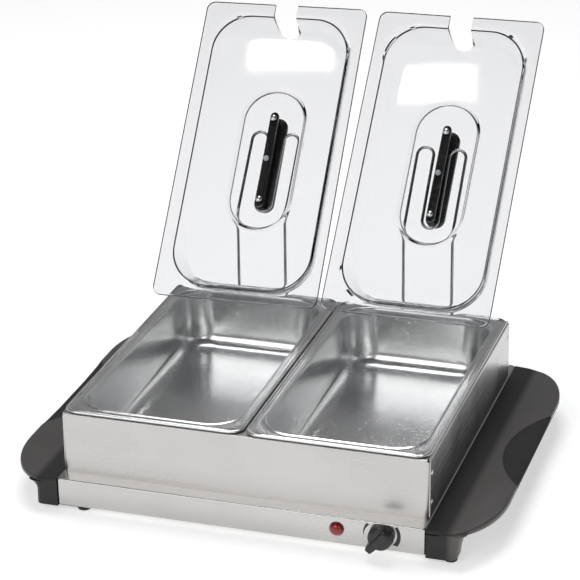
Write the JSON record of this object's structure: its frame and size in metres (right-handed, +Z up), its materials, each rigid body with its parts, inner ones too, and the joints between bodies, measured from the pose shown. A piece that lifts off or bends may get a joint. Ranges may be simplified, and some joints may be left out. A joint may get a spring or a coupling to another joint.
{
  "type": "electric buffet server",
  "caption": "Warming tray with end handles, thermostat knob and lamp; lift-off steel frame with side-by-side pans; clear notched lids hung on wire racks behind.",
  "frame": {"origin": "middle of the object's footprint box at the feet's resting plane", "axes": "+Z up, -Y towards the user and the controls, +X to the user's right; the lids hang at the +Y side"},
  "size_m": [0.478, 0.4835, 0.3763],
  "materials": {
    "brushed_steel": "brushed stainless sheet",
    "polished_steel": "polished stainless sheet",
    "pan_steel": "bright satin stainless, deep drawn",
    "plated_steel": "zinc-plated",
    "wire": "bright stainless wire",
    "fasteners": "nickel plated",
    "aluminium": "mill finish",
    "element_sheath": "oxidised sheath",
    "black_plastic": "satin phenolic moulding",
    "knob_plastic": "satin moulding",
    "rubber": "matt",
    "clear_plastic": "crystal clear polycarbonate",
    "red_lens": "translucent red lens",
    "lamp_glass": "neon bulb",
    "ceramic": "unglazed steatite",
    "insulation": "glass fibre mat",
    "bimetal": "bimetal strip",
    "lead_brown": "silicone sleeve",
    "lead_blue": "silicone sleeve",
    "lead_green": "silicone sleeve",
    "lead_grey": "glass sleeve"
  },
  "bodies": {
    "base": {"tray_shell": "brushed_steel", "bottom_cover": "plated_steel", "cover_screws": "fasteners", "heat_spreader": "aluminium", "heating_element": "element_sheath", "element_clamps": "plated_steel", "insulation_pad": "insulation", "thermostat_body": "ceramic", "thermostat_nut": "fasteners", "thermostat_blade": "bimetal", "pilot_lens": "red_lens", "pilot_lamp": "lamp_glass", "pilot_retainer": "plated_steel", "terminal_block": "ceramic", "thermal_fuse": "ceramic", "live_lead": "lead_brown", "switched_lead": "lead_brown", "neutral_lead": "lead_blue", "earth_lead": "lead_green", "lamp_leads": "lead_grey", "earth_screw": "bimetal", "cord_gland": "black_plastic", "left_handle": "black_plastic", "right_handle": "black_plastic", "handle_screws": "fasteners", "front_left_foot": "rubber", "front_right_foot": "rubber", "rear_left_foot": "rubber", "rear_right_foot": "rubber", "foot_screws": "fasteners"},
    "knob": {"thermostat_shaft": "fasteners", "control_knob": "knob_plastic"},
    "pan_frame": {"frame_front": "brushed_steel", "frame_rear": "brushed_steel", "frame_left_side": "polished_steel", "frame_right_side": "polished_steel", "frame_rivets": "fasteners", "pan_divider": "polished_steel", "left_rack_socket": "plated_steel", "right_rack_socket": "plated_steel", "socket_rivets": "fasteners"},
    "left_rack": {"left_lid_rack": "wire"},
    "right_rack": {"right_lid_rack": "wire"},
    "left_pan_body": {"left_pan": "pan_steel"},
    "right_pan_body": {"right_pan": "pan_steel"},
    "left_lid_body": {"left_lid": "clear_plastic", "left_lid_handle": "black_plastic", "left_lid_screws": "fasteners"},
    "right_lid_body": {"right_lid": "clear_plastic", "right_lid_handle": "black_plastic", "right_lid_screws": "fasteners"}
  },
  "joints": [
    {"name": "knob_turn", "type": "hinge", "parent": "base", "child": "knob", "pos_m": [0.1384, -0.2278, 0.0217], "axis": [0, 1, 0], "range_deg": [0, 270]},
    {"name": "frame_lift", "type": "slide", "parent": "base", "child": "pan_frame", "axis": [0, 0, 1], "range_m": [0, 0.12]},
    {"name": "left_pan_lift", "type": "slide", "parent": "pan_frame", "child": "left_pan_body", "axis": [0, 0, 1], "range_m": [0, 0.018]},
    {"name": "left_rack_lift", "type": "slide", "parent": "pan_frame", "child": "left_rack", "axis": [0, 0, 1], "range_m": [0, 0.03]},
    {"name": "left_lid_lift", "type": "slide", "parent": "left_rack", "child": "left_lid_body", "axis": [0, 0.6388, 0.7694], "range_m": [0, 0.15]},
    {"name": "right_pan_lift", "type": "slide", "parent": "pan_frame", "child": "right_pan_body", "axis": [0, 0, 1], "range_m": [0, 0.018]},
    {"name": "right_rack_lift", "type": "slide", "parent": "pan_frame", "child": "right_rack", "axis": [0, 0, 1], "range_m": [0, 0.03]},
    {"name": "right_lid_lift", "type": "slide", "parent": "right_rack", "child": "right_lid_body", "axis": [0, 0.6388, 0.7694], "range_m": [0, 0.15]}
  ]
}
